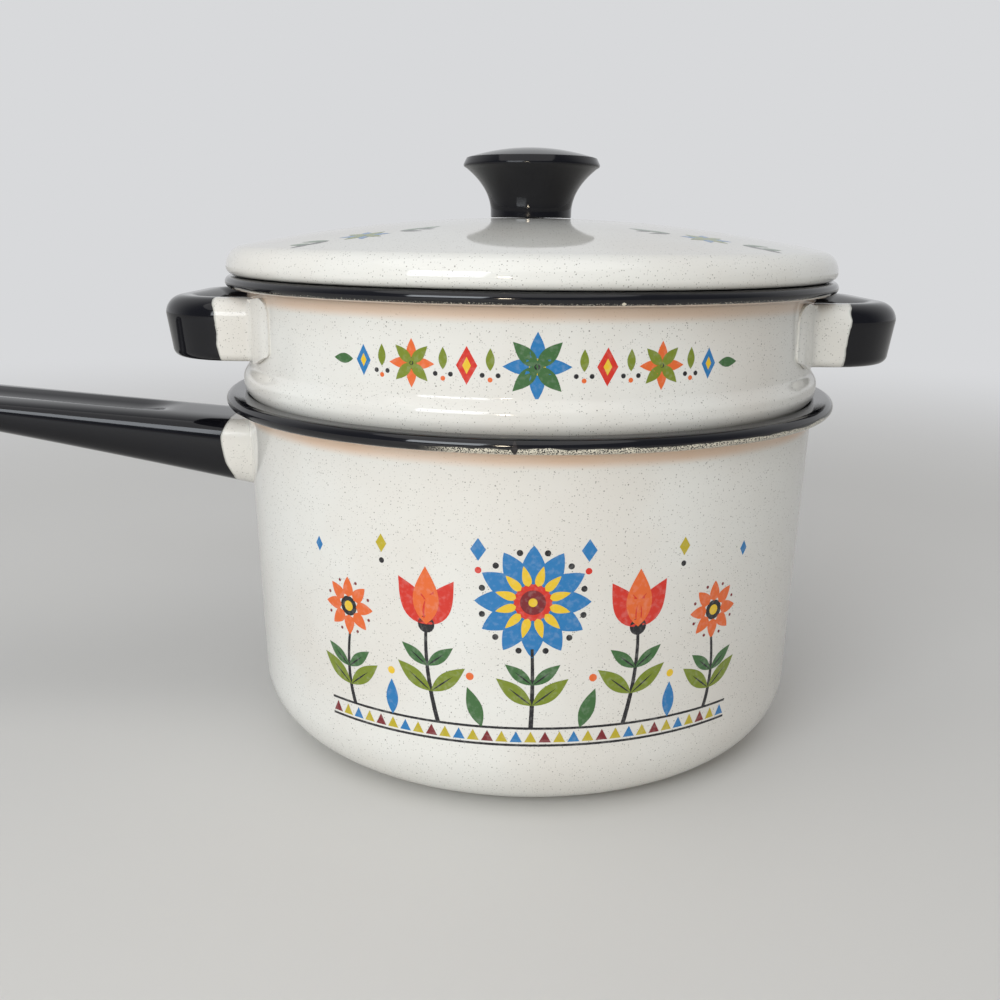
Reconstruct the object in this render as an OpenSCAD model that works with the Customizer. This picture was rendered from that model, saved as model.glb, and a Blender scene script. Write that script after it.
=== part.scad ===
// Enamelled steel double boiler: a saucepan, a pan that seats in its mouth, and a lid.
// Millimetres, +Z up. The origin is the centre of the saucepan's flat base.

/* [Sheet] */
// Thickness of the enamelled sheet
sheet = 1.2; // [0.9:0.1:1.4]
// Gap between parts that rest on each other
seat_gap = 0.2; // [0.1:0.05:0.3]

/* [Saucepan] */
// Outer radius of the saucepan wall at its mouth
pot_r = 89.9; // [82:0.5:96]
// How much the radius narrows for each millimetre of height
pot_taper = 0.03; // [0.01:0.005:0.045]
// Height of the middle of the rim bead
pot_rim_z = 107.1; // [100:0.1:130]
// Radius of the rounded corner above the base
pot_corner_r = 20.5; // [14:0.5:26]
// How far the rim stands out beyond the wall
pot_rim_out = 6.1; // [5.6:0.1:7]
// Radius of the rim's bead
pot_bead_r = 2.15; // [1.9:0.05:2.4]

/* [Upper pan] */
// How much smaller the upper pan's radius is than the saucepan's
pan_step = 1.3; // [0.8:0.1:2]
// How far the shoulder stands out beyond the wall
shoulder_out = 1.95; // [1.5:0.05:2.4]
// Radius of the shoulder's underside
shoulder_r = 6.2; // [5:0.1:7]
// Height from the middle of the shoulder to the middle of the rim bead
pan_rise = 29.75; // [28:0.25:45]
// Depth of the bowl below the middle of the shoulder
pan_drop = 72; // [50:1:80]
// Radius of the rounded corner of the bowl
pan_corner_r = 17; // [12:0.5:22]
// Gap between the bowl's wall and the saucepan's wall
water_gap = 4.6; // [4:0.1:6]
// How far the rim stands out beyond the wall
pan_rim_out = 6.25; // [5.6:0.05:7]
// Radius of the rim's bead
pan_bead_r = 1.75; // [1.6:0.05:2.1]

/* [Lid] */
// Slope of the dome where it meets the lid's edge, in degrees
dome_slope = 11.3; // [7:0.1:14]
// Radius of the rounded upper edge
lid_edge_r = 5.5; // [4:0.25:8]
// Radius of the rounded lower edge
lid_low_r = 2.6; // [2.2:0.1:3.2]
// Depth of the skirt below the lid's seat
skirt_h = 8; // [5:0.5:12]
// Gap between the skirt and the pan's wall
skirt_gap = 1.2; // [0.8:0.1:2]

/* [Knob] */
// Radius of the neck
neck_r = 12.7; // [11:0.1:15]
// Radius of the knob at its widest
cap_r = 21.3; // [18:0.1:24]
// Height of the knob
knob_h = 21.1; // [19:0.1:25]
// Radius of the screw that holds the knob
screw_r = 2; // [1.5:0.1:2.5]
// Length of the screw inside the knob
screw_reach = 9; // [7:0.5:11]

/* [Ears] */
// Height of the strap that forms each ear
ear_h = 18.4; // [15:0.2:20]
// How far the ears stand out from the wall
ear_out = 23.1; // [20:0.1:30]
// Half the width of an ear, across its legs
ear_half = 38.5; // [33:0.5:44]
// Depth of the strap's channel section
ear_depth = 9; // [9:0.25:10]
// Radius of each bend, in plan
ear_bend = 24; // [19:0.5:28]
// How far the ear's face leans in towards its lower edge
ear_lean = 1.5; // [0:0.1:2]
// How far each foot spreads over the wall
foot_w = 11.7; // [9.5:0.1:14]
// Radius of the fillet between a leg and its foot
foot_fillet = 2.5; // [1:0.1:3]

/* [Handle] */
// Length of the handle from the saucepan wall
handle_len = 165; // [140:1:190]
// Width of the handle at its root
handle_w = 34; // [28:0.5:38]
// Extra width at the free end
handle_swell = 3; // [0:0.5:5]
// Depth of the handle at its root
root_h = 21.9; // [17:0.1:24]
// Depth of the handle at its free end
tip_h = 8.25; // [7.5:0.25:11]
// Rise of the handle for each millimetre of length
handle_rise = 0.078; // [0.04:0.001:0.14]
// Distance from the rim bead's middle down to the handle's top at the wall
handle_drop = 8.4; // [7:0.1:16]
// Wall of the hollow handle
handle_wall = 1.5; // [1.2:0.1:1.8]
// Depth of the thumb groove
groove_d = 2.4; // [1:0.1:3]
// Width of the thumb groove
groove_w = 17; // [12:0.5:20]
// Radius of the hanging hole
hang_r = 4.2; // [3:0.1:5]
// Distance from the hanging hole's middle to the free end
hang_inset = 13; // [11:0.5:16]

/* [Hidden] */
$fn = 96;

half = sheet / 2;
lip_r = 1.4;
curl_end = -160;

// Saucepan: centrelines of its wall and of its rim.
pot_wall_r = pot_r - half;
pot_bead_c = pot_r + pot_rim_out - pot_bead_r;
pot_top_z = pot_rim_z + pot_bead_r;
pot_lip_z = pot_top_z - half - lip_r;
pot_low_r = pot_wall_r - pot_taper * (pot_lip_z - pot_corner_r);

// Upper pan: the arc of its shoulder rests on the rounded lip of the saucepan's mouth.
pan_r = pot_r - pan_step;
pan_wall_r = pan_r - half;
shoulder_c = pan_r + shoulder_out - shoulder_r;
seat_span = shoulder_r + lip_r + half + seat_gap;
seat_z = pot_lip_z + sqrt(pow(seat_span, 2) - pow(pot_wall_r + lip_r - shoulder_c, 2));
shoulder_flat = 1;
shoulder_blend = 4.5;
tuck_r = 2;
bowl_r = pot_wall_r - sheet - water_gap;
tuck_in = bowl_r + tuck_r - shoulder_c;
tuck_down = sqrt(pow(shoulder_r - half + tuck_r, 2) - pow(tuck_in, 2));
tuck_angle = atan2(-tuck_down, tuck_in);
pan_rim_z = seat_z + pan_rise;
pan_base_z = seat_z - pan_drop;
pan_bead_c = pan_r + pan_rim_out - pan_bead_r;
pan_top_z = pan_rim_z + pan_bead_r;
bowl_low_r = bowl_r - pot_taper * (pan_drop - pan_corner_r);

// Lid: its rounded lower edge stands on the flat of the upper pan's rim.
lid_edge_c = pan_bead_c - lid_low_r / 2;
lid_z = pan_top_z + seat_gap + lid_low_r;
skirt_r = pan_wall_r - sheet - skirt_gap;
skirt_bend = 1.6;
lid_crown_c = lid_edge_c + lid_low_r - half - lid_edge_r;
dome_r = lid_crown_c / sin(dome_slope) + lid_edge_r;
dome_c = lid_z - (dome_r - lid_edge_r) * cos(dome_slope);
lid_top_z = dome_c + dome_r + half;

// Knob and its fastening, all on the axis.
screw_clear = 0.05;
knob_z = lid_top_z + screw_clear;
neck_h = 1.1;
flare_power = 2.25;
flare_in = 1.1;
flare_drop = 6.4;
brim_r = 0.8;
brim_drop = 5.3;
rim_in = 0.9;
rim_drop = 3.2;
rim_groove = 0.25;
bush_r = screw_r + 2.2;
bush_h = screw_reach + 2;
head_r = screw_r * 2.2;
head_h = 2.4;
slot_w = 1;
washer_r = screw_r * 3.2;
washer_h = 0.8;
lid_hole_r = screw_r + 0.3;
washer_z = lid_top_z - sheet - washer_h - 2 * screw_clear;
head_top_z = washer_z - screw_clear;

// Ears
ear_drop = 2.4;
ear_mid_z = pan_rim_z - pan_bead_r - ear_drop - ear_h / 2;
ear_x = pan_r + ear_out;
ear_round = 5.5;
ear_low_round = 2.6;
ear_lip = 6.5;
ear_lip_round = 3.5;
foot_t = 1.4;
foot_corner = 5;
foot_lift = 1.2;

// Handle
handle_top_z = pot_rim_z - handle_drop;
handle_tip_x = pot_r + handle_len;
root_inset = 4;
deep_fade = 1.1;
deep_end = 0.68;
end_round = 3;
stations = 26;
around = 40;

function lerp(a, b, t) = a + (b - a) * t;
function smooth(t) = let(c = min(1, max(0, t))) c * c * (3 - 2 * c);

// Points on an arc about c, from angle a0 to a1.
function arc(c, r, a0, a1, n = 12) =
    [for (i = [0:n]) let(a = lerp(a0, a1, i / n)) c + r * [cos(a), sin(a)]];

// The unit normal of a path at point i, to its left.
function normal_at(path, i) =
    let(a = path[max(0, i - 1)],
        b = path[min(len(path) - 1, i + 1)],
        d = (b - a) / norm(b - a))
    [-d[1], d[0]];

// The outline of a sheet of thickness t about a centreline.
function sheet_outline(path, t) =
    let(n = len(path) - 1)
    concat([for (i = [0:n]) path[i] + normal_at(path, i) * t / 2],
           [for (i = [n:-1:0]) path[i] - normal_at(path, i) * t / 2]);

// A shell of revolution from its centreline.
module spun(path) {
    rotate_extrude() polygon([for (p = sheet_outline(path, sheet)) [max(0, p[0]), p[1]]]);
}

// A rolled rim: over a rounded lip, flat across, and round a bead that closes below.
function rim_path(wall_r, bead_c, bead_r, z) = concat(
    arc([wall_r + lip_r, z + bead_r - half - lip_r], lip_r, 180, 90, 8),
    arc([bead_c, z], bead_r - half, 90, curl_end, 20));

function pot_path() = concat(
    [[0, half], [pot_low_r - pot_corner_r, half]],
    arc([pot_low_r - pot_corner_r + half, pot_corner_r], pot_corner_r - half, -90, 0, 16),
    rim_path(pot_wall_r, pot_bead_c, pot_bead_r, pot_rim_z));

// The bulge of the shoulder fades smoothly into the straight wall above it.
function shoulder_path() = [for (i = [0:10]) let(t = i / 10)
    [pan_wall_r + shoulder_out * (1 + cos(180 * t)) / 2, seat_z + shoulder_flat + shoulder_blend * t]];

function pan_path() = concat(
    [[0, pan_base_z + half], [bowl_low_r - pan_corner_r, pan_base_z + half]],
    arc([bowl_low_r - pan_corner_r + half, pan_base_z + pan_corner_r], pan_corner_r - half, -90, 0, 14),
    arc([bowl_r + tuck_r, seat_z - tuck_down], tuck_r, 180, tuck_angle + 180, 6),
    arc([shoulder_c, seat_z], shoulder_r - half, tuck_angle, 0, 14),
    shoulder_path(),
    rim_path(pan_wall_r, pan_bead_c, pan_bead_r, pan_rim_z));

function lid_path() = concat(
    [[skirt_r, lid_z - lid_low_r - skirt_h]],
    arc([skirt_r + skirt_bend, lid_z - lid_low_r + half - skirt_bend], skirt_bend, 180, 90, 8),
    arc([lid_edge_c, lid_z], lid_low_r - half, -90, 0, 10),
    arc([lid_crown_c, lid_z], lid_edge_r, 0, 90 - dome_slope, 14),
    arc([0, dome_c], dome_r, 90 - dome_slope, 90, 14));

module pot_body() {
    color("ivory") spun(pot_path());
}

module pan_body() {
    color("ivory") spun(pan_path());
}

module lid_shell() {
    color("ivory") difference() {
        spun(lid_path());
        translate([0, 0, lid_z]) cylinder(r = lid_hole_r, h = dome_r);
    }
}

// The section of an ear's strap: a channel open towards the pan, its top rolled over to a lip.
module ear_section() {
    back = -ear_depth - ear_lean;
    difference() {
        ear_outline(0);
        ear_outline(sheet);
        translate([back - 1, sheet - ear_h / 2]) square([half + sheet + 1, ear_h - sheet - ear_lip]);
    }
}

module ear_outline(inset) {
    back = -ear_depth - ear_lean;
    low = arc([-ear_low_round - ear_lean, ear_low_round - ear_h / 2], ear_low_round - inset, -90, 0, 8);
    top = arc([-ear_round, ear_h / 2 - ear_round], ear_round - inset, 0, 90, 8);
    lip = arc([back + ear_lip_round, ear_h / 2 - ear_lip_round], ear_lip_round - inset, 90, 180, 8);
    polygon(concat(low, top, lip, [[back + inset, inset - ear_h / 2]]));
}

// One ear on the +X side: two legs, two bends and a bar, with feet that lie on the wall.
module ear() {
    leg = ear_x - ear_bend;
    span = ear_half - ear_bend;
    translate([0, 0, ear_mid_z]) {
        difference() {
            union() {
                for (side = [0, 1]) {
                    mirror([0, side, 0]) {
                        translate([leg, span, 0])
                            rotate_extrude(angle = 90) translate([ear_bend, 0]) ear_section();
                        translate([0, ear_half, 0])
                            rotate([90, 0, 90]) linear_extrude(leg) ear_section();
                    }
                }
                translate([ear_x, span, 0]) rotate([90, 0, 0]) linear_extrude(2 * span) ear_section();
            }
            translate([0, 0, -ear_h]) cylinder(r = pan_r, h = 2 * ear_h);
        }
        for (side = [0, 1]) {
            mirror([0, side, 0]) {
                foot();
                fillet();
            }
        }
    }
}

// A foot: a plate with rounded corners that lies on the wall, outside its leg.
module foot() {
    intersection() {
        translate([0, 0, -ear_h]) difference() {
            cylinder(r = pan_r + foot_t, h = 2 * ear_h);
            translate([0, 0, -1]) cylinder(r = pan_r, h = 2 * ear_h + 2);
        }
        translate([0, ear_half + (foot_w - sheet) / 2, foot_lift])
            rotate([0, 90, 0]) linear_extrude(pan_r + foot_t) rounded_plate(ear_h, foot_w + sheet);
    }
}

// The fillet that carries a leg's face round into its foot.
module fillet() {
    skin_r = pan_r + foot_t;
    cy = ear_half + foot_fillet;
    cx = sqrt(pow(skin_r + foot_fillet, 2) - pow(cy, 2));
    touch = skin_r / (skin_r + foot_fillet);
    h = ear_h - ear_round - ear_low_round;
    translate([0, 0, ear_low_round - ear_h / 2]) difference() {
        translate([cx * touch - sheet, ear_half - sheet, 0])
            cube([cx * (1 - touch) + sheet, cy * touch - ear_half + sheet, h]);
        translate([cx, cy, -1]) cylinder(r = foot_fillet, h = h + 2);
        translate([0, 0, -1]) cylinder(r = pan_r, h = h + 2);
    }
}

// A plate with rounded corners, centred on the origin.
module rounded_plate(a, b) {
    square([a - 2 * foot_corner, b], center = true);
    square([a, b - 2 * foot_corner], center = true);
    for (x = [-1, 1], y = [-1, 1])
        translate([x * (a / 2 - foot_corner), y * (b / 2 - foot_corner)]) circle(r = foot_corner);
}

module ear_right() {
    color("ivory") ear();
}

module ear_left() {
    color("ivory") rotate([0, 0, 180]) ear();
}

// The handle's section at a station t, from 0 at the root to 1 at the free end.
function handle_x(t) = lerp(pot_r - root_inset, handle_tip_x, t);
function handle_top(t) = handle_top_z + handle_rise * (handle_x(t) - pot_r);
function handle_deep(t) = lerp(tip_h, root_h, pow(1 - min(1, t / deep_end), deep_fade));

// The handle's depth is drawn in to a rounded edge over the last end_round of its length.
function end_share(t) =
    let(short = max(0, end_round - (handle_tip_x - handle_x(t))) / end_round)
    sqrt(max(0.02, 1 - short * short));
function handle_half(t) =
    let(run = handle_tip_x - handle_x(t), w = (handle_w + handle_swell * smooth(t)) / 2)
    run >= w ? w : sqrt(max(0.04, w * w - pow(w - run, 2)));

// Depth of the groove at a distance y from the handle's middle.
function groove_at(t, y) =
    let(along = smooth((t - 0.15) / 0.09) * smooth((0.86 - t) / 0.1),
        across = max(0, 1 - pow(2 * y / groove_w, 2)))
    groove_d * along * across;

function section_point(t, a, inset) =
    let(w = handle_half(t) - inset,
        h = handle_deep(t) / 2 * end_share(t) - inset,
        c = cos(a),
        s = sin(a),
        y = w * sign(c) * pow(abs(c), 0.42) * (s < 0 ? lerp(1, 0.8, pow(-s, 0.7)) : 1),
        z = h * sign(s) * pow(abs(s), 0.42),
        top = s > 0 ? groove_at(t, y) * s : 0)
    [-handle_x(t), y, handle_top(t) - handle_deep(t) / 2 + z - top];

// A closed loft through the handle's sections between two stations.
module handle_loft(t0, t1, inset) {
    rows = [for (i = [0:stations]) let(u = i / stations, t = lerp(t0, t1, 1 - pow(1 - u, 1.6)))
        [for (k = [0:around - 1]) section_point(t, 360 * k / around, inset)]];
    points = [for (row = rows) each row];
    sides = [for (i = [0:stations - 1], k = [0:around - 1]) let(n = (k + 1) % around) each
        [[i * around + k, i * around + n, (i + 1) * around + n],
         [i * around + k, (i + 1) * around + n, (i + 1) * around + k]]];
    root_cap = [[for (k = [around - 1:-1:0]) k]];
    tip_cap = [[for (k = [0:around - 1]) stations * around + k]];
    polyhedron(points, concat(root_cap, sides, tip_cap));
}

module long_handle() {
    color([0.05, 0.05, 0.07]) difference() {
        handle_loft(0, 1, 0);
        handle_loft(-0.02, 0.84, handle_wall);
        translate([0, 0, -1])
            cylinder(r1 = pot_r - pot_taper * (pot_lip_z + 1), r2 = pot_r, h = pot_lip_z + 1);
        translate([hang_inset - handle_tip_x, 0, 0]) cylinder(r = hang_r, h = 2 * pot_rim_z);
    }
}

// The knob's outline: a concave flare, a rounded brim, a fine groove and a low domed top.
function knob_outline() =
    let(flare_r = cap_r - flare_in,
        rim_r = cap_r - rim_in,
        rim_z = knob_h - rim_drop,
        dome_rim = rim_r - 2 * rim_groove)
    concat([[0, 0], [neck_r, 0]],
           [for (i = [0:14]) let(u = i / 14)
               [lerp(neck_r, flare_r, pow(u, flare_power)), lerp(neck_h, knob_h - flare_drop, u)]],
           arc([cap_r - brim_r, knob_h - brim_drop], brim_r, -50, 26, 8),
           [[rim_r, rim_z], [rim_r - rim_groove, rim_z - rim_groove]],
           [for (i = [0:12]) let(u = 1 - i / 12)
               [dome_rim * u, lerp(knob_h, rim_z + rim_groove / 2, u * u)]]);

module knob() {
    color([0.03, 0.03, 0.03]) translate([0, 0, knob_z]) difference() {
        rotate_extrude() polygon(knob_outline());
        translate([0, 0, -1]) cylinder(r = bush_r + screw_clear, h = bush_h + 1 + screw_clear);
    }
}

module knob_bush() {
    color("goldenrod") translate([0, 0, knob_z]) difference() {
        cylinder(r = bush_r, h = bush_h);
        translate([0, 0, -1]) cylinder(r = screw_r + screw_clear, h = screw_reach + 2);
    }
}

module knob_screw() {
    color("silver") translate([0, 0, head_top_z]) {
        cylinder(r = screw_r, h = knob_z - head_top_z + screw_reach);
        difference() {
            translate([0, 0, -head_h]) rotate_extrude() polygon(concat(
                [[0, 0]], arc([head_r - 1, 1], 1, -90, 0, 6), [[head_r, head_h], [0, head_h]]));
            translate([-head_r, -slot_w / 2, -head_h - 1]) cube([2 * head_r, slot_w, 2]);
        }
    }
}

module knob_washer() {
    color("silver") translate([0, 0, washer_z]) difference() {
        cylinder(r = washer_r, h = washer_h);
        translate([0, 0, -1]) cylinder(r = screw_r + 0.25, h = washer_h + 2);
    }
}

pot_body();
long_handle();
pan_body();
ear_left();
ear_right();
lid_shell();
knob();
knob_bush();
knob_screw();
knob_washer();
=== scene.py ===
"""The finished look of an enamelled double boiler: saucepan, upper pan and lid."""

import math

import bmesh
import bpy
from mathutils import Matrix, Vector


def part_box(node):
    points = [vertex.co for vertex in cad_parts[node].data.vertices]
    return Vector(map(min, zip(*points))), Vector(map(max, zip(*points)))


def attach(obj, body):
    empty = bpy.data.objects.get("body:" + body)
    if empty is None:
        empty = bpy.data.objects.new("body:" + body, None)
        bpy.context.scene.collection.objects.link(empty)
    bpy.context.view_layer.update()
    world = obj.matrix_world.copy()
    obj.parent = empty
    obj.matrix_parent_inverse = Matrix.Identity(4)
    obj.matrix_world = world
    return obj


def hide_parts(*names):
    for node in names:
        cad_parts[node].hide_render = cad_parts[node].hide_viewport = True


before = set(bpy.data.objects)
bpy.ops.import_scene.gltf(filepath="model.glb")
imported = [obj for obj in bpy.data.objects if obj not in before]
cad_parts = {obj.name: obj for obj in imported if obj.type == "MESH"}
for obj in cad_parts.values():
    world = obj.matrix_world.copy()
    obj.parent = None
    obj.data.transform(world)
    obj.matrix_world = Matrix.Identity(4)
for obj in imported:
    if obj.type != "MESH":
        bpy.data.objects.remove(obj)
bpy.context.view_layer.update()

MM = 0.001

# Sizes that the frame doesn't give are the part's own, in metres. Angles are in degrees.

# Sheet and rims
SHEET = 1.2 * MM
HALF = SHEET / 2
LIP_R = 1.4 * MM
POT_RIM_OUT = 6.1 * MM
POT_BEAD_R = 2.15 * MM
PAN_RIM_OUT = 6.25 * MM
PAN_BEAD_R = 1.75 * MM
CURL_END = -160
SPIN_STEPS = 240

# Saucepan
pot_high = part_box("pot_body")[1]
POT_R = pot_high.x - POT_RIM_OUT
POT_WALL_R = POT_R - HALF
POT_TOP = pot_high.z
POT_RIM_Z = POT_TOP - POT_BEAD_R
POT_LIP_Z = POT_TOP - HALF - LIP_R
POT_TAPER = 0.03
POT_CORNER_R = 20.5 * MM
POT_LOW_R = POT_WALL_R - POT_TAPER * (POT_LIP_Z - POT_CORNER_R)

# Upper pan
pan_low, pan_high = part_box("pan_body")
PAN_R = pan_high.x - PAN_RIM_OUT
PAN_WALL_R = PAN_R - HALF
PAN_TOP = pan_high.z
PAN_RIM_Z = PAN_TOP - PAN_BEAD_R
PAN_BASE = pan_low.z
PAN_DROP = 72 * MM
PAN_CORNER_R = 17 * MM
SEAT_Z = PAN_BASE + PAN_DROP
SHOULDER_OUT = 1.95 * MM
SHOULDER_R = 6.2 * MM
SHOULDER_C = PAN_R + SHOULDER_OUT - SHOULDER_R
SHOULDER_FLAT = 1 * MM
SHOULDER_BLEND = 4.5 * MM
TUCK_R = 2 * MM
WATER_GAP = 4.6 * MM
BOWL_R = POT_WALL_R - SHEET - WATER_GAP
BOWL_LOW_R = BOWL_R - POT_TAPER * (PAN_DROP - PAN_CORNER_R)

# Lid
lid_low, lid_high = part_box("lid_shell")
LID_EDGE_R = 5.5 * MM
LID_LOW_R = 2.6 * MM
SKIRT_H = 8 * MM
SKIRT_GAP = 1.2 * MM
SKIRT_BEND = 1.6 * MM
SKIRT_R = PAN_WALL_R - SHEET - SKIRT_GAP
LID_EDGE_C = lid_high.x - LID_LOW_R
LID_Z = lid_low.z + SKIRT_H + LID_LOW_R
DOME_SLOPE = 11.3
LID_CROWN_C = LID_EDGE_C + LID_LOW_R - HALF - LID_EDGE_R
DOME_R = LID_CROWN_C / math.sin(math.radians(DOME_SLOPE)) + LID_EDGE_R
DOME_C = LID_Z - (DOME_R - LID_EDGE_R) * math.cos(math.radians(DOME_SLOPE))
LID_HOLE_R = 2.3 * MM

# Knob
knob_low, knob_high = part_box("knob")
KNOB_H = knob_high.z - knob_low.z
CAP_R = knob_high.x
NECK_R = 12.7 * MM
NECK_H = 1.1 * MM
FLARE_POWER = 2.25
FLARE_IN = 1.1 * MM
FLARE_DROP = 6.4 * MM
BRIM_R = 0.8 * MM
BRIM_DROP = 5.3 * MM
RIM_IN = 0.9 * MM
RIM_DROP = 3.2 * MM
RIM_GROOVE = 0.25 * MM

# Ears
ear_low, ear_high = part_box("ear_right")
FOOT_LIFT = 1.2 * MM
EAR_X = ear_high.x
EAR_H = ear_high.z - ear_low.z - FOOT_LIFT
EAR_MID_Z = ear_low.z + EAR_H / 2
EAR_HALF = 38.5 * MM
EAR_BEND = 24 * MM
EAR_DEPTH = 9 * MM
EAR_ROUND = 5.5 * MM
EAR_LOW_ROUND = 2.6 * MM
EAR_LIP = 6.5 * MM
EAR_LIP_ROUND = 3.5 * MM
EAR_LEAN = 1.5 * MM
FOOT_T = 1.4 * MM
FOOT_W = 11.7 * MM
FOOT_FILLET = 2.5 * MM
FOOT_RAISE = 2.8 * MM
FOOT_TOP_CORNER = 6 * MM
FOOT_LOW_CORNER = 2 * MM
FOOT_SINK = 0.9 * MM
FOOT_STEPS = 20
EAR_SINK = 0.5 * MM
EAR_EDGE = 0.3 * MM

# Handle
handle_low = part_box("long_handle")[0]
HANDLE_TIP = -handle_low.x
HANDLE_W = 34 * MM
HANDLE_SWELL = 3 * MM
ROOT_H = 21.9 * MM
TIP_H = 8.25 * MM
DEEP_FADE = 1.1
DEEP_END = 0.68
HANDLE_RISE = 0.078
HANDLE_TOP = POT_RIM_Z - 8.4 * MM
HANDLE_END = 3 * MM
HANDLE_SQUARE = 0.42
UNDERSIDE_WIDTH = 0.8
UNDERSIDE_POWER = 0.7
ROOT_INSET = 4 * MM
ROOT_SINK = 0.6 * MM
TIP_CROWD = 1.5
GROOVE_D = 2.4 * MM
GROOVE_W = 17 * MM
GROOVE_START = 0.15
GROOVE_RUN_IN = 0.09
GROOVE_STOP = 0.86
GROOVE_RUN_OUT = 0.1
HANG_R = 4.2 * MM
HANG_INSET = 13 * MM
HANG_ROUND = 1.4 * MM


def lerp(a, b, t):
    return a + (b - a) * t


def smooth(t):
    t = min(1.0, max(0.0, t))
    return t * t * (3 - 2 * t)


def arc(centre, radius, start, end, steps):
    """Points round a centre, from one angle to another, in degrees."""
    angles = [math.radians(lerp(start, end, i / steps)) for i in range(steps + 1)]
    return [(centre[0] + radius * math.cos(a), centre[1] + radius * math.sin(a)) for a in angles]


def finish_mesh(name, bm, material, sharp=35):
    """Turns a bmesh into a smooth-shaded object at the origin."""
    mesh = bpy.data.meshes.new(name)
    bm.to_mesh(mesh)
    bm.free()
    mesh.shade_smooth()
    mesh.set_sharp_from_angle(angle=math.radians(sharp))
    mesh.materials.append(material)
    piece = bpy.data.objects.new(name, mesh)
    bpy.context.scene.collection.objects.link(piece)
    return piece


def wall_outline(path):
    """The cross-section of a sheet about its centreline: up one side and back down the other."""
    sides = []
    for i, point in enumerate(path):
        before = Vector(path[max(0, i - 1)])
        after = Vector(path[min(len(path) - 1, i + 1)])
        along = (after - before).normalized()
        across = Vector((-along.y, along.x)) * HALF
        sides.append((Vector(point) + across, Vector(point) - across))
    return [left for left, right in sides] + [right for left, right in reversed(sides)]


def spun(name, outline, material, closed=False, sharp=35):
    """A piece of revolution. An outline that isn't closed starts and ends on the axis."""
    bm = bmesh.new()
    verts = [bm.verts.new((max(0.0, p[0]), 0, p[1])) for p in outline]
    edges = [bm.edges.new(pair) for pair in zip(verts, verts[1:])]
    if closed:
        edges.append(bm.edges.new((verts[-1], verts[0])))
    bmesh.ops.spin(
        bm, geom=verts + edges, cent=(0, 0, 0), axis=(0, 0, 1), angle=2 * math.pi,
        steps=SPIN_STEPS, use_merge=True,
    )
    bmesh.ops.remove_doubles(bm, verts=bm.verts, dist=1e-6)
    bmesh.ops.recalc_face_normals(bm, faces=bm.faces)
    return finish_mesh(name, bm, material, sharp)


def node(tree, kind, inputs=None, **settings):
    """Adds a shader node. An input's value is a number, a colour or another node's socket."""
    made = tree.nodes.new(kind)
    for name, value in settings.items():
        setattr(made, name, value)
    for key, value in (inputs or {}).items():
        if isinstance(value, bpy.types.NodeSocket):
            tree.links.new(value, made.inputs[key])
        else:
            made.inputs[key].default_value = value
    return made


def maths(tree, operation, a, b=0.0, clamp=False):
    made = node(tree, "ShaderNodeMath", {0: a, 1: b}, operation=operation, use_clamp=clamp)
    return made.outputs[0]


def step_between(tree, value, low, high, start=0.0, end=1.0):
    """A smooth step: start below low and end above high."""
    made = node(
        tree, "ShaderNodeMapRange",
        {"Value": value, "From Min": low, "From Max": high, "To Min": start, "To Max": end},
        interpolation_type="SMOOTHSTEP",
    )
    return made.outputs[0]


def mixed(tree, factor, first, second):
    """A blend of two colours."""
    made = node(tree, "ShaderNodeMix", {0: factor, 6: first, 7: second}, data_type="RGBA")
    return made.outputs[2]


def noise(tree, vector, scale, detail=3.0, roughness=0.5):
    made = node(
        tree, "ShaderNodeTexNoise",
        {"Vector": vector, "Scale": scale, "Detail": detail, "Roughness": roughness},
    )
    return made.outputs[0]


def linear(value):
    """A screen value from 0 to 255 as the linear value that shaders take, by the sRGB curve."""
    if value > 10:
        return ((value / 255 + 0.055) / 1.055) ** 2.4
    return value / 255 / 12.92


def rgb(red, green, blue):
    """A colour given in screen values from 0 to 255."""
    return (linear(red), linear(green), linear(blue), 1.0)


def effect_group(name, inputs, outputs):
    """An empty shader node group with named sockets, and its two ends."""
    tree = bpy.data.node_groups.new(name, "ShaderNodeTree")
    for label, kind, value in inputs:
        socket = tree.interface.new_socket(label, in_out="INPUT", socket_type=kind)
        socket.default_value = value
    for label, kind in outputs:
        tree.interface.new_socket(label, in_out="OUTPUT", socket_type=kind)
    return tree, tree.nodes.new("NodeGroupInput").outputs, tree.nodes.new("NodeGroupOutput").inputs


# Enamel. Scales are in cells or waves to a metre.
SPECK_SKEW = 1.3
SPECK_LEAST = 0.02
SPECK_CORE = 0.6
SPECK_SOFTNESS = 2.5
SPECK_PALEST = 0.25
SMUDGE_SCALE = 35.0
RIPPLE_SCALE = 70.0
FINE_RIPPLE_SCALE = 420.0
FINE_RIPPLE_SHARE = 0.12
RIPPLE_DEPTH = 0.6 * MM
WORN_PATCH_SCALE = 110.0
GRAIN_SCALE = 3400.0
GRAIN_EDGE = 0.04
RING_SCALE = 5000.0
MOTTLE_SCALE = 700.0
INK_FADE = 0.1


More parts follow.
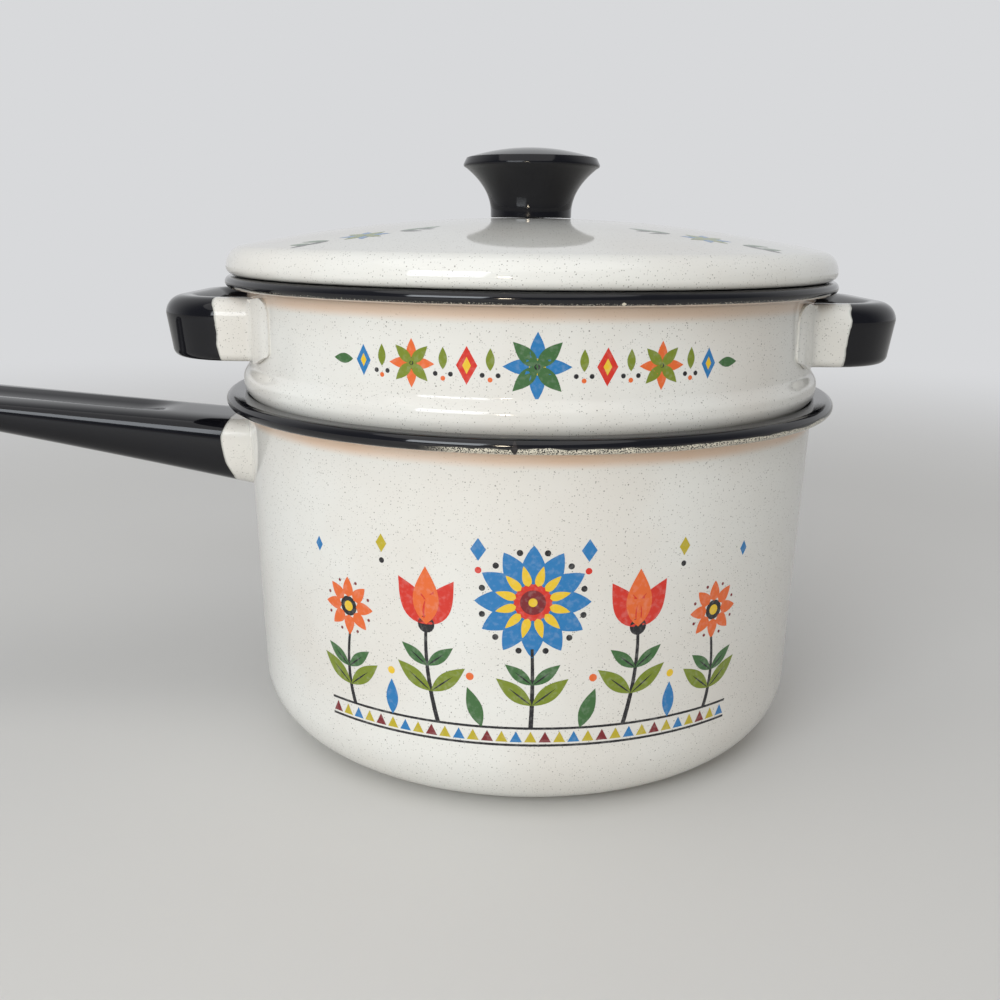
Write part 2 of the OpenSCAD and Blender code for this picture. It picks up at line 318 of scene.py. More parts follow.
def speck_group():
    """Fine specks fired into the white enamel."""
    tree, given, result = effect_group(
        "enamel_specks",
        [("Vector", "NodeSocketVector", (0, 0, 0)), ("Cells", "NodeSocketFloat", 500.0),
         ("Size", "NodeSocketFloat", 0.2)],
        [("Mask", "NodeSocketFloat")],
    )
    cells = node(tree, "ShaderNodeTexVoronoi", {"Vector": given["Vector"], "Scale": given["Cells"]})
    hue = node(tree, "ShaderNodeSeparateColor", {0: cells.outputs["Color"]})
    share = maths(tree, "ADD", maths(tree, "POWER", hue.outputs[0], SPECK_SKEW), SPECK_LEAST)
    reach = maths(tree, "MULTIPLY", share, given["Size"])
    depth = maths(tree, "SUBTRACT", maths(tree, "DIVIDE", cells.outputs["Distance"], reach), SPECK_CORE)
    outside = maths(tree, "MULTIPLY", depth, SPECK_SOFTNESS, clamp=True)
    mask = maths(tree, "SUBTRACT", 1.0, outside, clamp=True)
    tone = maths(tree, "ADD", maths(tree, "MULTIPLY", hue.outputs[1], 1 - SPECK_PALEST), SPECK_PALEST)
    tree.links.new(maths(tree, "MULTIPLY", mask, tone), result["Mask"])
    return tree


def glaze_group():
    """The slightly uneven gloss of fired enamel."""
    tree, given, result = effect_group(
        "enamel_glaze",
        [("Vector", "NodeSocketVector", (0, 0, 0)), ("Roughness", "NodeSocketFloat", 0.12),
         ("Ripple", "NodeSocketFloat", 0.1)],
        [("Roughness", "NodeSocketFloat"), ("Normal", "NodeSocketVector")],
    )
    smudge = noise(tree, given["Vector"], SMUDGE_SCALE, 4.0, 0.6)
    spread = step_between(tree, smudge, 0.35, 0.75, 0.85, 1.7)
    tree.links.new(maths(tree, "MULTIPLY", given["Roughness"], spread), result["Roughness"])
    broad = noise(tree, given["Vector"], RIPPLE_SCALE, 1.0)
    fine = noise(tree, given["Vector"], FINE_RIPPLE_SCALE, 2.0)
    height = maths(tree, "ADD", broad, maths(tree, "MULTIPLY", fine, FINE_RIPPLE_SHARE))
    bump = node(
        tree, "ShaderNodeBump",
        {"Strength": given["Ripple"], "Distance": RIPPLE_DEPTH, "Height": height},
    )
    tree.links.new(bump.outputs[0], result["Normal"])
    return tree


def dip_group():
    """Where a piece was dipped in black: a mask, and the thin edge of the coat."""
    tree, given, result = effect_group(
        "enamel_dip",
        [("Vector", "NodeSocketVector", (0, 0, 0)), ("Past", "NodeSocketFloat", 0.0),
         ("Wander", "NodeSocketFloat", 0.5), ("Waves", "NodeSocketFloat", 90.0),
         ("Edge", "NodeSocketFloat", 0.25)],
        [("Dipped", "NodeSocketFloat"), ("Edge", "NodeSocketFloat")],
    )
    drift = maths(tree, "SUBTRACT", noise(tree, given["Vector"], given["Waves"], 2.0), 0.5)
    wander = maths(tree, "MULTIPLY", drift, maths(tree, "MULTIPLY", given["Wander"], 2 * MM))
    past = maths(tree, "ADD", given["Past"], wander)
    edge = maths(tree, "MULTIPLY", given["Edge"], MM)
    share = maths(tree, "DIVIDE", past, edge)
    tree.links.new(step_between(tree, share, -0.5, 0.5), result["Dipped"])
    near = maths(tree, "ABSOLUTE", maths(tree, "ADD", share, 0.6))
    tree.links.new(maths(tree, "SUBTRACT", 1.0, near, clamp=True), result["Edge"])
    return tree


def grain_group():
    """Pale grains where the enamel is rubbed away between two heights on a rim's bead."""
    tree, given, result = effect_group(
        "rim_grains",
        [("Vector", "NodeSocketVector", (0, 0, 0)), ("Height", "NodeSocketFloat", 0.0),
         ("Reach", "NodeSocketFloat", 1.0), ("Bare", "NodeSocketFloat", 0.5)],
        [("Mask", "NodeSocketFloat")],
    )
    patch = noise(tree, given["Vector"], WORN_PATCH_SCALE, 2.0)
    reach = maths(tree, "MULTIPLY", given["Reach"], MM)
    upper = maths(tree, "MULTIPLY", maths(tree, "ADD", 0.55, patch), reach)
    over = maths(tree, "SUBTRACT", given["Height"], upper)
    below = step_between(tree, over, -0.15 * MM, 0.15 * MM, 1.0, 0.0)
    above = step_between(tree, given["Height"], 0.25 * MM, 0.45 * MM)
    grain = maths(tree, "SUBTRACT", noise(tree, given["Vector"], GRAIN_SCALE, 1.0, 0.4), given["Bare"])
    shown = step_between(tree, grain, -GRAIN_EDGE, GRAIN_EDGE)
    band = maths(tree, "MULTIPLY", below, above)
    tree.links.new(maths(tree, "MULTIPLY", band, shown), result["Mask"])
    return tree


SPECKS = speck_group()
GLAZE = glaze_group()
DIP = dip_group()
GRAINS = grain_group()

WHITE = rgb(227, 227, 222)
WHITE_SHADE = rgb(221, 218, 211)
SPECK = rgb(84, 78, 68)
# Painted shade: the warm, darker tone laid on the white just under each rim's bead.
RIM_SHADE_TINT = rgb(219, 192, 168)
BLACK = rgb(14, 14, 17)
BLACK_SHADE = rgb(19, 19, 24)
BLACK_SPECULAR = 0.36
DIP_EDGE = rgb(120, 128, 122)
DIP_EDGE_SHARE = 0.45
DIP_BLEND = 0.35
COAT_DEPTH = 0.12 * MM
WORN_ENAMEL = rgb(220, 214, 196)
CHIP_STEEL = rgb(46, 42, 42)
CHIP_SHADOW = rgb(14, 12, 12)

# Cells to a metre, size and tone
FINE_SPECKS = (1700.0, 0.36, 0.75)
COARSE_SPECKS = (800.0, 0.2, 0.85)

# Roughness and ripple
LID_GLOSS = (0.06, 0.04)
DIPPED_GLOSS = (0.07, 0.05)
KNOB_GLOSS = (0.08, 0.04)
INK_GLOSS = (0.12, 0.05)

# The black on the rims, the painted warm shade under them, and the wear beside it
BARE_LINE = 0.35 * MM
RIM_SHADE_START = 2.6 * MM
RIM_SHADE_REACH = 5.4 * MM
WORN_FRONT = (-18 * MM, -34 * MM)
WORN_LEFT = (-30 * MM, -18 * MM)
POT_GRAINS = {"Reach": 1.75, "Bare": 0.47}
PAN_GRAINS = {"Reach": 0.8, "Bare": 0.62}
PAN_GRAIN_TONE = 0.7
CHIP_SCALE = 1500.0
CHIP_RAGGED = 0.3
CHIP_FRONT = (-60 * MM, -84 * MM)
CHIP_NOWHERE = 9.0
POT_CHIP_AT = (-5.4 * MM, POT_RIM_Z)
POT_CHIP_HALF = (0.85 * MM, 2.05 * MM)
PAN_CHIP_AT = (20.2 * MM, PAN_RIM_Z - PAN_BEAD_R + 0.75 * MM)
PAN_CHIP_HALF = (0.65 * MM, 0.45 * MM)

# The dip lines on the handle and the ears. Above and below: reach, power and how far it draws in.
HANDLE_DIP_X = 97.4 * MM
HANDLE_DIP_DROP = 5.3 * MM
HANDLE_DIP_BELOW = (12.6 * MM, 2.0, 2.9 * MM)
HANDLE_DIP_ABOVE = (5 * MM, 1.5, 1.9 * MM)
EAR_DIP_X = 91.8 * MM
EAR_DIP_LEAN = 1.7 * MM


def grouped(tree, group, inputs):
    return node(tree, "ShaderNodeGroup", inputs, node_tree=group).outputs


def new_material(name):
    material = bpy.data.materials.new(name)
    material.use_nodes = True
    tree = material.node_tree
    shader = tree.nodes["Principled BSDF"]
    place = tree.nodes.new("ShaderNodeTexCoord").outputs["Object"]
    return material, tree, shader, place


def specks(tree, place, cells, size, tone):
    mask = grouped(tree, SPECKS, {"Vector": place, "Cells": cells, "Size": size})["Mask"]
    return maths(tree, "MULTIPLY", mask, tone)


def white_ground(tree, place):
    """Warm white enamel with its specks."""
    cloud = noise(tree, place, 18.0, 3.0)
    ground = mixed(tree, step_between(tree, cloud, 0.35, 0.65), WHITE, WHITE_SHADE)
    fine = specks(tree, place, *FINE_SPECKS)
    coarse = specks(tree, place, *COARSE_SPECKS)
    return mixed(tree, maths(tree, "MAXIMUM", fine, coarse), ground, SPECK)


def black_ground(tree, place):
    return mixed(tree, noise(tree, place, 60.0, 2.0), BLACK, BLACK_SHADE)


def glossy(tree, shader, place, roughness, ripple):
    glaze = grouped(tree, GLAZE, {"Vector": place, "Roughness": roughness, "Ripple": ripple})
    tree.links.new(glaze["Roughness"], shader.inputs["Roughness"])
    tree.links.new(glaze["Normal"], shader.inputs["Normal"])
    return glaze


def white_enamel(name):
    material, tree, shader, place = new_material(name)
    tree.links.new(white_ground(tree, place), shader.inputs["Base Color"])
    glossy(tree, shader, place, *LID_GLOSS)
    return material


def dipped_enamel(name, past_line, wander, waves, rim_shade, wear=None):
    """White enamel with black over it past a line, from which past_line gives the distance."""
    material, tree, shader, place = new_material(name)
    axes = node(tree, "ShaderNodeSeparateXYZ", {0: place}).outputs
    past = past_line(tree, axes)
    dip = grouped(
        tree, DIP,
        {"Vector": place, "Past": past, "Wander": wander, "Waves": waves, "Edge": DIP_BLEND},
    )
    white = white_ground(tree, place)
    # Painted shade: a warm, darker band on the white just under the rim's bead, strongest at the bead
    # and fading out downwards.
    if rim_shade:
        uneven = step_between(tree, noise(tree, place, 28.0, 2.0), 0.3, 0.7, 0.7, 1.0)
        near = step_between(tree, past, -RIM_SHADE_REACH, -RIM_SHADE_START)
        rim_shaded = maths(tree, "MULTIPLY", near, maths(tree, "MULTIPLY", uneven, rim_shade))
        white = mixed(tree, rim_shaded, white, RIM_SHADE_TINT)
    else:
        white = mixed(tree, maths(tree, "MULTIPLY", dip["Edge"], DIP_EDGE_SHARE), white, DIP_EDGE)
        shader.inputs["Specular IOR Level"].default_value = BLACK_SPECULAR
    colour = mixed(tree, dip["Dipped"], white, black_ground(tree, place))
    if wear:
        colour = wear(tree, place, axes, colour)
    tree.links.new(colour, shader.inputs["Base Color"])
    glaze = glossy(tree, shader, place, *DIPPED_GLOSS)
    coat = node(
        tree, "ShaderNodeBump",
        {"Strength": 0.7, "Distance": COAT_DEPTH, "Height": dip["Dipped"], "Normal": glaze["Normal"]},
    )
    tree.links.new(coat.outputs[0], shader.inputs["Normal"])
    return material


def past_pot_rim(tree, axes):
    """The black stops a little short of the bead's underside, which leaves a thin pale line."""
    return maths(tree, "SUBTRACT", axes[2], POT_RIM_Z - POT_BEAD_R + BARE_LINE)


def past_pan_rim(tree, axes):
    return maths(tree, "SUBTRACT", axes[2], PAN_RIM_Z - PAN_BEAD_R + BARE_LINE)


def falling_off(tree, distance, reach, power, amount):
    """How far a line has drawn in at a distance from where it lies furthest out."""
    share = maths(tree, "DIVIDE", distance, reach, clamp=True)
    return maths(tree, "MULTIPLY", maths(tree, "POWER", share, power), amount)


def past_handle_line(tree, axes):
    """The dip line lies furthest out a quarter of the way down, and draws in above and below."""
    furthest = HANDLE_TOP - HANDLE_DIP_DROP
    below = falling_off(tree, maths(tree, "SUBTRACT", furthest, axes[2]), *HANDLE_DIP_BELOW)
    above = falling_off(tree, maths(tree, "SUBTRACT", axes[2], furthest), *HANDLE_DIP_ABOVE)
    line = maths(tree, "SUBTRACT", HANDLE_DIP_X, maths(tree, "ADD", below, above))
    return maths(tree, "SUBTRACT", maths(tree, "MULTIPLY", axes[0], -1.0), line)


def past_ear_line(tree, axes):
    """The dip line waves a little, and lies nearer the wall at the ear's lower edge."""
    rise = maths(tree, "DIVIDE", maths(tree, "SUBTRACT", axes[2], EAR_MID_Z), EAR_H)
    line = maths(tree, "ADD", EAR_DIP_X, maths(tree, "MULTIPLY", rise, EAR_DIP_LEAN))
    return maths(tree, "SUBTRACT", maths(tree, "ABSOLUTE", axes[0]), line)


def chip_spread(tree, place, axes, at, half):
    """How far a point at the front lies from a chip's middle: 1 at its ragged outline."""
    across = maths(tree, "DIVIDE", maths(tree, "SUBTRACT", axes[0], at[0]), half[0])
    down = maths(tree, "DIVIDE", maths(tree, "SUBTRACT", axes[2], at[1]), half[1])
    square = maths(tree, "MULTIPLY", down, down)
    spread = maths(tree, "ADD", maths(tree, "ABSOLUTE", across), square)
    rough = maths(tree, "MULTIPLY", noise(tree, place, CHIP_SCALE, 2.0), CHIP_RAGGED)
    behind = step_between(tree, axes[1], *CHIP_FRONT, CHIP_NOWHERE, 0.0)
    return maths(tree, "ADD", maths(tree, "ADD", spread, rough), behind)


def worn_pot_rim(tree, place, axes, colour):
    """Pale grains along the bead's lower edge at the front, and one chip down to the steel."""
    height = maths(tree, "SUBTRACT", axes[2], POT_RIM_Z - POT_BEAD_R)
    grains = grouped(tree, GRAINS, {"Vector": place, "Height": height, **POT_GRAINS})["Mask"]
    front = step_between(tree, axes[1], *WORN_FRONT)
    from_left = step_between(tree, axes[0], *WORN_LEFT)
    worn = maths(tree, "MULTIPLY", grains, maths(tree, "MULTIPLY", front, from_left))
    colour = mixed(tree, worn, colour, WORN_ENAMEL)
    spread = chip_spread(tree, place, axes, POT_CHIP_AT, POT_CHIP_HALF)
    colour = mixed(tree, step_between(tree, spread, 1.1, 1.2, 1.0, 0.0), colour, CHIP_SHADOW)
    return mixed(tree, step_between(tree, spread, 0.7, 0.95, 1.0, 0.0), colour, CHIP_STEEL)


def worn_pan_rim(tree, place, axes, colour):
    """A few pale grains along the bead's lower edge, and a small chip that shows the white coat."""
    height = maths(tree, "SUBTRACT", axes[2], PAN_RIM_Z - PAN_BEAD_R)
    grains = grouped(tree, GRAINS, {"Vector": place, "Height": height, **PAN_GRAINS})["Mask"]
    colour = mixed(tree, maths(tree, "MULTIPLY", grains, PAN_GRAIN_TONE), colour, WORN_ENAMEL)
    spread = chip_spread(tree, place, axes, PAN_CHIP_AT, PAN_CHIP_HALF)
    return mixed(tree, step_between(tree, spread, 0.9, 1.1, 1.0, 0.0), colour, WORN_ENAMEL)


def knob_plastic():
    material, tree, shader, place = new_material("knob_plastic")
    tree.links.new(black_ground(tree, place), shader.inputs["Base Color"])
    glossy(tree, shader, place, *KNOB_GLOSS)
    shader.inputs["Specular IOR Level"].default_value = BLACK_SPECULAR
    return material


def turned_metal(name, light, dark, roughness):
    """Bright metal with fine rings left by the lathe."""
    material, tree, shader, place = new_material(name)
    axes = node(tree, "ShaderNodeSeparateXYZ", {0: place}).outputs
    square = maths(tree, "ADD", maths(tree, "POWER", axes[0], 2.0), maths(tree, "POWER", axes[1], 2.0))
    radial = node(tree, "ShaderNodeCombineXYZ", {0: maths(tree, "SQRT", square), 1: axes[2]})
    rings = noise(tree, radial.outputs[0], RING_SCALE)
    tree.links.new(mixed(tree, rings, light, dark), shader.inputs["Base Color"])
    shader.inputs["Metallic"].default_value = 1.0
    uneven = step_between(tree, rings, 0.2, 0.8, roughness, roughness * 1.6)
    tree.links.new(uneven, shader.inputs["Roughness"])
    return material


def ink(name, colour):
    """Printed colour fired under the glaze, slightly mottled."""
    material, tree, shader, place = new_material("ink_" + name)
    faded = tuple(lerp(c, w, INK_FADE) for c, w in zip(colour[:3], WHITE[:3])) + (1.0,)
    mottle = step_between(tree, noise(tree, place, MOTTLE_SCALE, 3.0), 0.45, 0.75)
    tree.links.new(mixed(tree, mottle, colour, faded), shader.inputs["Base Color"])
    glossy(tree, shader, place, *INK_GLOSS)
    return material


def rolled_rim(wall_r, bead_c, bead_r, z):
    """A rim's centreline: over a rounded lip, flat across, and round a bead that closes below."""
    lip = arc((wall_r + LIP_R, z + bead_r - HALF - LIP_R), LIP_R, 180, 90, 8)
    return lip + arc((bead_c, z), bead_r - HALF, 90, CURL_END, 26)


def saucepan_shell(material):
    corner_c = (POT_LOW_R - POT_CORNER_R + HALF, POT_CORNER_R)
    corner = arc(corner_c, POT_CORNER_R - HALF, -90, 0, 26)
    rim = rolled_rim(POT_WALL_R, pot_high.x - POT_BEAD_R, POT_BEAD_R, POT_RIM_Z)
    path = [(0, HALF)] + corner + rim
    return spun("saucepan_shell", wall_outline(path), material, sharp=50)


def upper_pan_shell(material):
    corner_c = (BOWL_LOW_R - PAN_CORNER_R + HALF, PAN_BASE + PAN_CORNER_R)
    corner = arc(corner_c, PAN_CORNER_R - HALF, -90, 0, 20)
    tuck_in = BOWL_R + TUCK_R - SHOULDER_C
    tuck_down = math.sqrt((SHOULDER_R - HALF + TUCK_R) ** 2 - tuck_in ** 2)
    angle = math.degrees(math.atan2(-tuck_down, tuck_in))
    tuck = arc((BOWL_R + TUCK_R, SEAT_Z - tuck_down), TUCK_R, 180, angle + 180, 8)
    bulge = arc((SHOULDER_C, SEAT_Z), SHOULDER_R - HALF, angle, 0, 18)
    fade = []
    for i in range(13):
        t = i / 12
        out = SHOULDER_OUT * (1 + math.cos(math.pi * t)) / 2
        fade.append((PAN_WALL_R + out, SEAT_Z + SHOULDER_FLAT + SHOULDER_BLEND * t))
    rim = rolled_rim(PAN_WALL_R, pan_high.x - PAN_BEAD_R, PAN_BEAD_R, PAN_RIM_Z)
    path = [(0, PAN_BASE + HALF)] + corner + tuck + bulge + fade + rim
    return spun("upper_pan_shell", wall_outline(path), material, sharp=50)


def lid_dome(material):
    hole_angle = 90 - math.degrees(LID_HOLE_R / DOME_R)
    dome = arc((0, DOME_C), DOME_R, hole_angle, 90 - DOME_SLOPE, 30)
    edge = arc((LID_CROWN_C, LID_Z), LID_EDGE_R, 90 - DOME_SLOPE, 0, 22)
    low = arc((LID_EDGE_C, LID_Z), LID_LOW_R - HALF, 0, -90, 12)
    bend = arc((SKIRT_R + SKIRT_BEND, LID_Z - LID_LOW_R + HALF - SKIRT_BEND), SKIRT_BEND, 90, 180, 8)
    path = dome + edge + low + bend + [(SKIRT_R, LID_Z - LID_LOW_R - SKIRT_H)]
    return spun("lid_dome", wall_outline(path), material, closed=True, sharp=50)


def knob_cap(material):
    """The knob's outline: a concave flare, a rounded brim, a fine groove and a low domed top."""
    rim_r = CAP_R - RIM_IN
    rim_z = KNOB_H - RIM_DROP
    outline = [(0, 0), (NECK_R - RIM_GROOVE, 0), (NECK_R, RIM_GROOVE)]
    for i in range(29):
        u = i / 28
        flare_r = lerp(NECK_R, CAP_R - FLARE_IN, u ** FLARE_POWER)
        outline.append((flare_r, lerp(NECK_H, KNOB_H - FLARE_DROP, u)))
    outline += arc((CAP_R - BRIM_R, KNOB_H - BRIM_DROP), BRIM_R, -50, 26, 10)
    outline += arc((rim_r - RIM_GROOVE / 2, rim_z - RIM_GROOVE / 2), RIM_GROOVE / 2, 26, 130, 5)
    outline.append((rim_r - 1.4 * RIM_GROOVE, rim_z - RIM_GROOVE))
    for i in range(21):
        u = 1 - i / 20
        outline.append(((rim_r - 2 * RIM_GROOVE) * u, lerp(KNOB_H, rim_z + RIM_GROOVE / 2, u * u)))
    return spun("knob_cap", [(r, z + knob_low.z) for r, z in outline], material, sharp=30)


def mapped_grid(across, along, place):
    """A grid of quads whose corners are put in place by a function of two shares, 0 to 1."""
    bm = bmesh.new()
    bmesh.ops.create_grid(bm, x_segments=across, y_segments=along, size=0.5)
    for vert in bm.verts:
        vert.co = place(vert.co.x + 0.5, vert.co.y + 0.5)
    bmesh.ops.remove_doubles(bm, verts=bm.verts, dist=1e-6)
    return bm


def handle_top(x):
    return HANDLE_TOP + HANDLE_RISE * (x - POT_R)


def handle_point(around, along):
    """A point on the handle's skin: around its section, and along from the round wall to the tip."""
    t = 1 - (1 - along) ** TIP_CROWD
    x = lerp(POT_R - ROOT_INSET, HANDLE_TIP, t)
    run = HANDLE_TIP - x
    wide = (HANDLE_W + HANDLE_SWELL * smooth(t)) / 2
    half = wide if run >= wide else math.sqrt(max(0.0, wide ** 2 - (wide - run) ** 2))
    deep = lerp(TIP_H, ROOT_H, (1 - min(1, t / DEEP_END)) ** DEEP_FADE)
    top = handle_top(x)
    if run < HANDLE_END:
        shrink = math.sqrt(max(0.0, 1 - ((HANDLE_END - run) / HANDLE_END) ** 2))
        top -= deep / 2 * (1 - shrink)
        deep *= shrink
    angle = 2 * math.pi * around
    c, s = math.cos(angle), math.sin(angle)
    y = half * math.copysign(abs(c) ** HANDLE_SQUARE, c)
    if s < 0:
        y *= lerp(1, UNDERSIDE_WIDTH, (-s) ** UNDERSIDE_POWER)
    z = top - deep / 2 + deep / 2 * math.copysign(abs(s) ** HANDLE_SQUARE, s)
    if s > 0:
        groove = smooth((t - GROOVE_START) / GROOVE_RUN_IN) * smooth((GROOVE_STOP - t) / GROOVE_RUN_OUT)
        z -= GROOVE_D * groove * max(0.0, 1 - (2 * y / GROOVE_W) ** 2) * s
    wall_r = POT_R - POT_TAPER * max(0.0, POT_LIP_Z - z) - ROOT_SINK
    wall = math.sqrt(wall_r ** 2 - y * y)
    x = wall + (x - (POT_R - ROOT_INSET)) * (HANDLE_TIP - wall) / (HANDLE_TIP - POT_R + ROOT_INSET)
    return Vector((-x, y, z))


def applied(piece):
    """The piece with its modifiers made part of its mesh."""
    bpy.context.view_layer.update()
    shaped = piece.evaluated_get(bpy.context.evaluated_depsgraph_get())
    mesh = bpy.data.meshes.new_from_object(shaped)
    piece.modifiers.clear()
    piece.data = mesh
    return piece


def pierce(piece, cutter):
    """Cuts a hole in a piece in the shape of the cutter."""
    cut = piece.modifiers.new("hole", "BOOLEAN")
    cut.operation = "DIFFERENCE"
    cut.solver = "EXACT"
    cut.object = cutter
    applied(piece)
    bpy.data.objects.remove(cutter)


def handle_skin(material):
    bm = mapped_grid(72, 110, handle_point)
    bmesh.ops.holes_fill(bm, edges=[e for e in bm.edges if e.is_boundary])
    bmesh.ops.recalc_face_normals(bm, faces=bm.faces)
    piece = finish_mesh("handle_skin", bm, material, sharp=50)
    hole_x = HANDLE_TIP - HANG_INSET
    middle = handle_top(hole_x) - TIP_H / 2
    half = TIP_H / 2
    brim_r = HANG_R + HANG_ROUND * 1.4
    side = [(0, -half - HANG_ROUND), (brim_r, -half - HANG_ROUND)]
    side += arc((HANG_R + HANG_ROUND, -half + HANG_ROUND), HANG_ROUND, 270, 180, 6)
    side += arc((HANG_R + HANG_ROUND, half - HANG_ROUND), HANG_ROUND, 180, 90, 6)
    side += [(brim_r, half + HANG_ROUND), (0, half + HANG_ROUND)]
    cutter = spun("hole_cutter", side, material)
    lean = Matrix.Rotation(math.atan(HANDLE_RISE), 4, "Y")
    cutter.data.transform(Matrix.Translation((-hole_x, 0, middle)) @ lean)
    pierce(piece, cutter)
    piece.data.set_sharp_from_angle(angle=math.radians(50))
    return piece


def ear_route():
    """The face of one half of an ear's strap in plan, from its foot's end to the bar's middle."""
    skin_r = PAN_R + FOOT_T
    cy = EAR_HALF + FOOT_FILLET
    cx = math.sqrt((skin_r + FOOT_FILLET) ** 2 - cy ** 2)
    touch = math.degrees(math.atan2(cy, cx))
    foot_end = touch + math.degrees(FOOT_W / skin_r)
    foot = []
    for i in range(FOOT_STEPS + 1):
        share = (i / FOOT_STEPS) ** 1.5
        angle = math.radians(lerp(foot_end, touch, share))
        reach = skin_r - FOOT_SINK * (1 - smooth(share * 2.5))
        foot.append((reach * math.cos(angle), reach * math.sin(angle)))
    fillet = arc((cx, cy), FOOT_FILLET, touch + 180, 270, 8)
    bend_c = (EAR_X - EAR_BEND, EAR_HALF - EAR_BEND)
    leg = [(lerp(cx, bend_c[0], i / 8), EAR_HALF) for i in range(1, 8)]
    bend = arc(bend_c, EAR_BEND, 90, 0, 30)
    bar = [(EAR_X, lerp(bend_c[1], 0, i / 6)) for i in range(1, 7)]
    return foot + fillet[1:] + leg + bend + bar, len(foot), len(fillet) - 1


def ear_section():
    """Across the strap, from its lip to its lower flange: how far in from its face, and how high.

    The third number is the height of the same point where the strap lies flat as a foot."""
    top = EAR_H / 2
    inner = EAR_DEPTH + EAR_LEAN
    rolled = [(inner, lerp(top - EAR_LIP, top - EAR_LIP_ROUND, i / 3)) for i in range(3)]
    rolled += arc((inner - EAR_LIP_ROUND, top - EAR_LIP_ROUND), EAR_LIP_ROUND, 0, 90, 10)
    points = [(depth, z, top) for depth, z in rolled]
    face = arc((EAR_ROUND, top - EAR_ROUND), EAR_ROUND, 90, 180, 12)
    face += [(EAR_LEAN * i / 6, lerp(top - EAR_ROUND, EAR_LOW_ROUND - top, i / 6)) for i in range(1, 6)]
    face += arc((EAR_LOW_ROUND + EAR_LEAN, EAR_LOW_ROUND - top), EAR_LOW_ROUND, 180, 270, 8)
    face += [(lerp(EAR_LOW_ROUND + EAR_LEAN, inner, i / 4), -top) for i in range(1, 5)]
    return points + [(depth, z, z) for depth, z in face]


def corner_trim(radius, travelled):
    """How much of a rounded corner is missing at a distance from the edge that it ends at."""
    short = max(0.0, radius - travelled)
    return radius - math.sqrt(radius ** 2 - short ** 2)


def foot_height(z, travelled):
    """A height on the strap, spread to the foot's outline at a distance from its free edge."""
    to_leg = smooth(travelled / FOOT_W)
    top = EAR_H / 2 + FOOT_LIFT * (1 - to_leg) - corner_trim(FOOT_TOP_CORNER, travelled)
    low = FOOT_RAISE * (1 - to_leg) - EAR_H / 2 + corner_trim(FOOT_LOW_CORNER, travelled)
    return lerp(low, top, z / EAR_H + 0.5)


def ear_strap(name, side, material):
    """One ear, on the +X side for side 1 and on the -X side for side -1."""
    half_route, feet, fillet = ear_route()
    route = [Vector(p) for p in half_route + [(x, -y) for x, y in reversed(half_route[:-1])]]
    section = ear_section()
    last = len(route) - 1
    hidden_r = PAN_R - EAR_SINK

    def corner(across, along):
        i = round(along * last)
        from_end = min(i, last - i)
        depth, z, flat_z = section[round(across * (len(section) - 1))]
        run = (route[min(last, i + 1)] - route[max(0, i - 1)]).normalized()
        inward = Vector((run.y, -run.x))
        formed = smooth((from_end - feet) / fillet)
        point = route[i] + inward * depth * formed
        z = lerp(flat_z, z, formed)
        if from_end < feet:
            z = foot_height(z, (route[from_end] - route[0]).length)
        if point.length < hidden_r:
            point = point.normalized() * hidden_r
        return Vector((point.x * side, point.y * side, EAR_MID_Z + z))

    bm = mapped_grid(len(section) - 1, last, corner)
    bmesh.ops.recalc_face_normals(bm, faces=bm.faces)
    bm.normal_update()
    bar = max(bm.faces, key=lambda f: f.calc_center_median().x * side)
    if bar.normal.x * side < 0:
        bmesh.ops.reverse_faces(bm, faces=bm.faces)
    piece = finish_mesh(name, bm, material, sharp=60)
    wall = piece.modifiers.new("sheet", "SOLIDIFY")
    wall.thickness = SHEET
    wall.offset = -1
    wall.use_even_offset = False
    rounded = piece.modifiers.new("edge", "BEVEL")
    rounded.width = EAR_EDGE
    rounded.segments = 3
    rounded.limit_method = "ANGLE"
    rounded.angle_limit = math.radians(50)
    return piece


INK = {
    "blue": rgb(38, 118, 178),
    "black": rgb(30, 30, 34),
    "olive": rgb(118, 134, 38),
    "green": rgb(62, 104, 58),
    "red": rgb(206, 48, 34),
    "orange": rgb(224, 104, 46),
    "yellow": rgb(228, 190, 44),
    "mustard": rgb(186, 168, 40),
    "maroon": rgb(120, 34, 40),
}
INK_NAMES = list(INK)

PETAL_FULLNESS = 0.62
PETAL_ROUND = 0.8
PETAL_TIP = 0.05
STALK_TAPER = 0.35
GARLAND_Z = 125.9
BORDER_TEETH = 31


def turned(points, at, angle):
    """Flat points turned by an angle in degrees, then moved."""
    c, s = math.cos(math.radians(angle)), math.sin(math.radians(angle))
    return [(at[0] + x * c - y * s, at[1] + x * s + y * c) for x, y in points]


def leaf(at, angle, length, width, fullness=0.9, steps=12):
    """A pointed leaf from its stalk end, in millimetres."""
    upper = []
    for i in range(steps + 1):
        t = i / steps
        upper.append((length * t, width / 2 * math.sin(math.pi * t ** fullness)))
    lower = [(x, -y) for x, y in reversed(upper[1:-1])]
    return turned(upper + lower, at, angle)


def disc(at, radius, steps=28):
    angles = [2 * math.pi * i / steps for i in range(steps)]
    return [(at[0] + radius * math.cos(a), at[1] + radius * math.sin(a)) for a in angles]


def petal(at, angle, start, length, width, steps=10):
    """A round-ended petal that begins some way out from a flower's centre."""
    side = []
    for i in range(steps + 1):
        t = i / steps
        half = width / 2 * math.sin(math.pi * (t ** PETAL_FULLNESS)) ** PETAL_ROUND + PETAL_TIP
        side.append((start + length * t, half))
    return turned(side + [(x, -y) for x, y in reversed(side)], at, angle)


def curve_point(points, t):
    """A point on the curve that leaves the first of three points towards the second."""
    (ax, ay), (bx, by), (cx, cy) = points
    x = (1 - t) ** 2 * ax + 2 * t * (1 - t) * bx + t * t * cx
    y = (1 - t) ** 2 * ay + 2 * t * (1 - t) * by + t * t * cy
    return x, y


